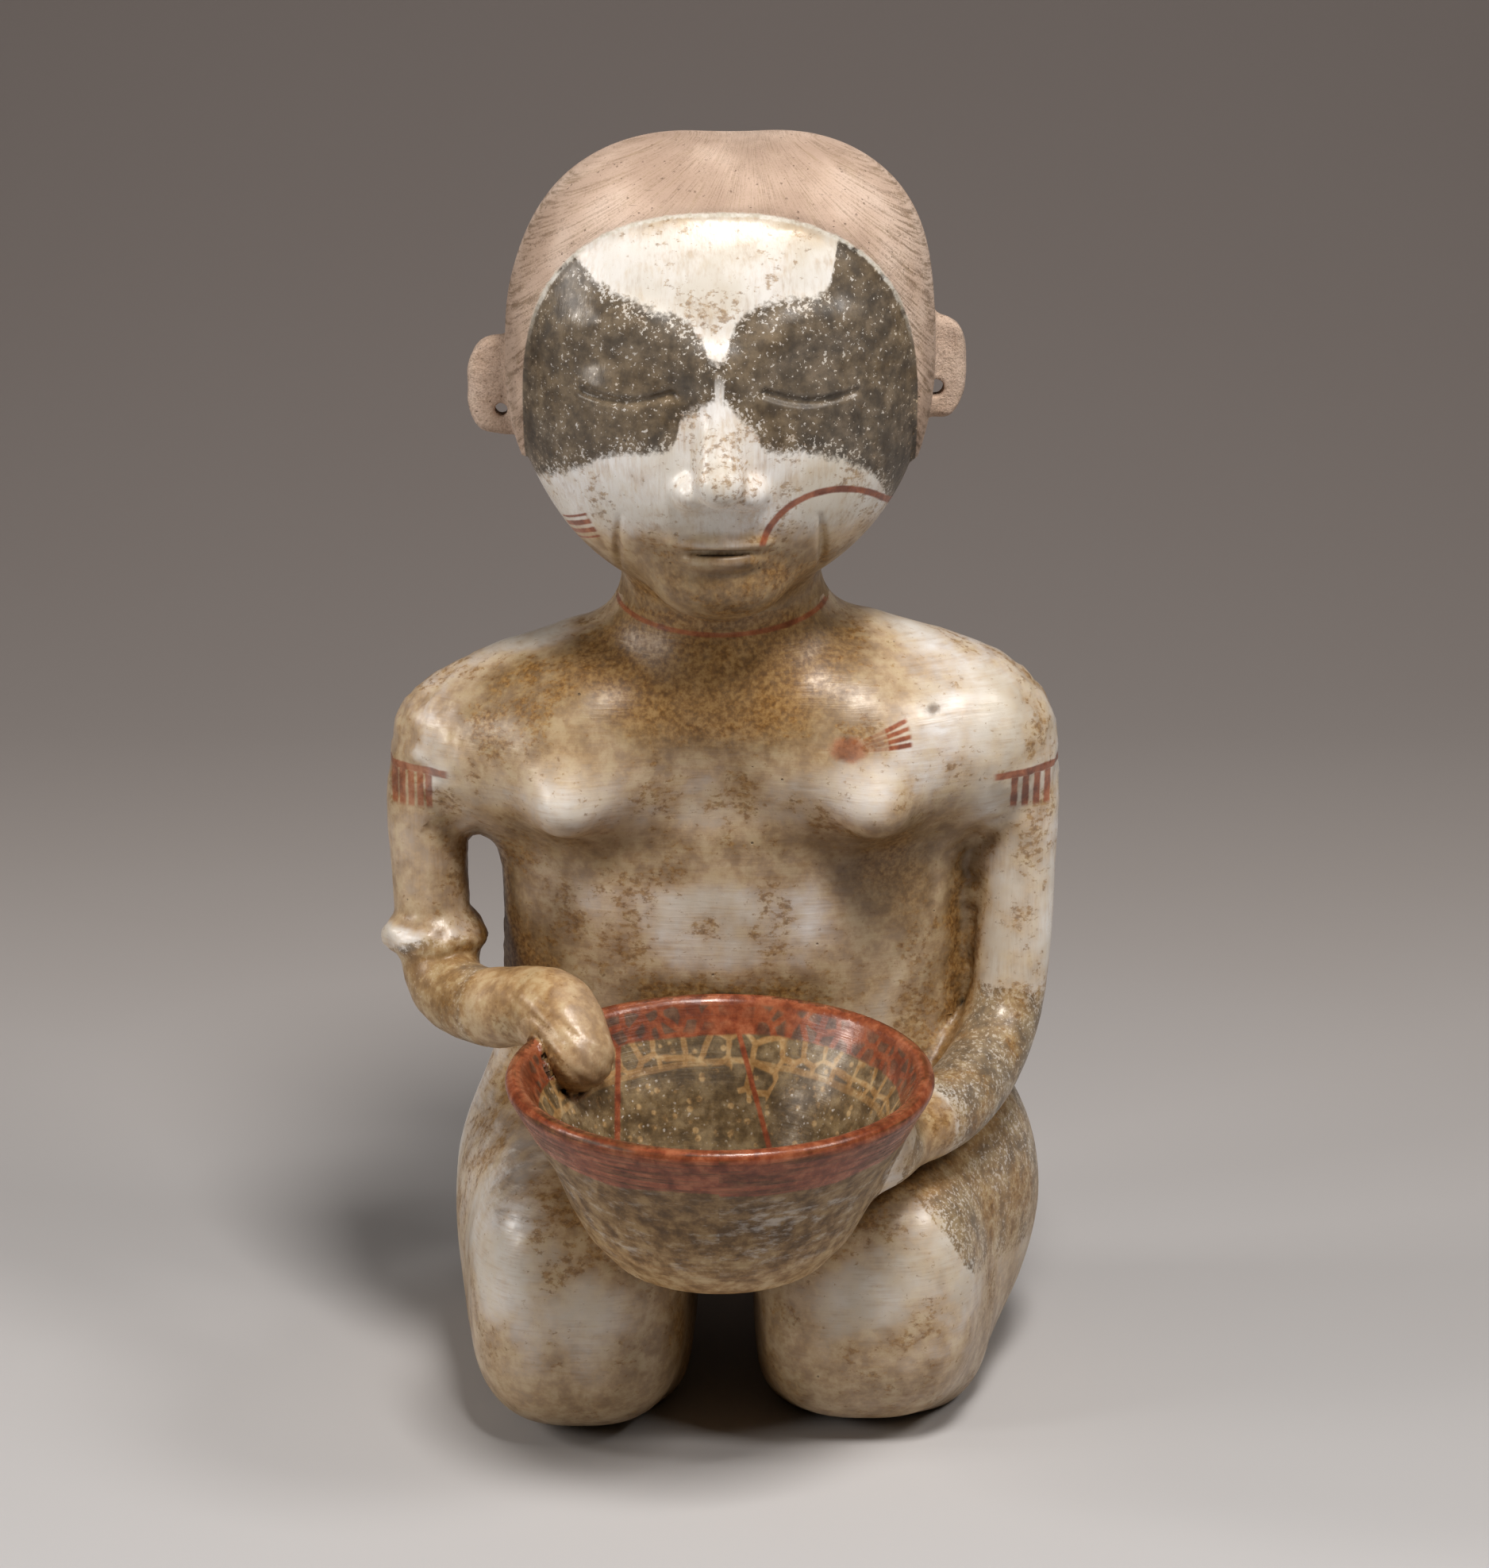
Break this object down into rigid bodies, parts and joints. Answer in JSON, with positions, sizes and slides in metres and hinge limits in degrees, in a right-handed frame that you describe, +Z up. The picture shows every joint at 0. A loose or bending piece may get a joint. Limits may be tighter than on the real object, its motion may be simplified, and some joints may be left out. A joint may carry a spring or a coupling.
{
  "type": "ceramic figurine",
  "caption": "Hollow slip-painted ceramic figure of a kneeling woman who holds an open bowl on the thighs, with a smooth cap of hair and pierced ears.",
  "frame": {"origin": "centre of the footprint's bounding box, on the ground under the folded legs", "axes": "+Z up, the figure faces -Y, +X is the figure's left"},
  "size_m": [0.1914, 0.1948, 0.3557],
  "materials": {
    "burnished_slip": "burnished cream, brown and red slip with ochre mottling, matt terracotta cap and ears"
  },
  "bodies": {
    "root": {"kneeling_figure_with_bowl": "burnished_slip"}
  },
  "joints": []
}
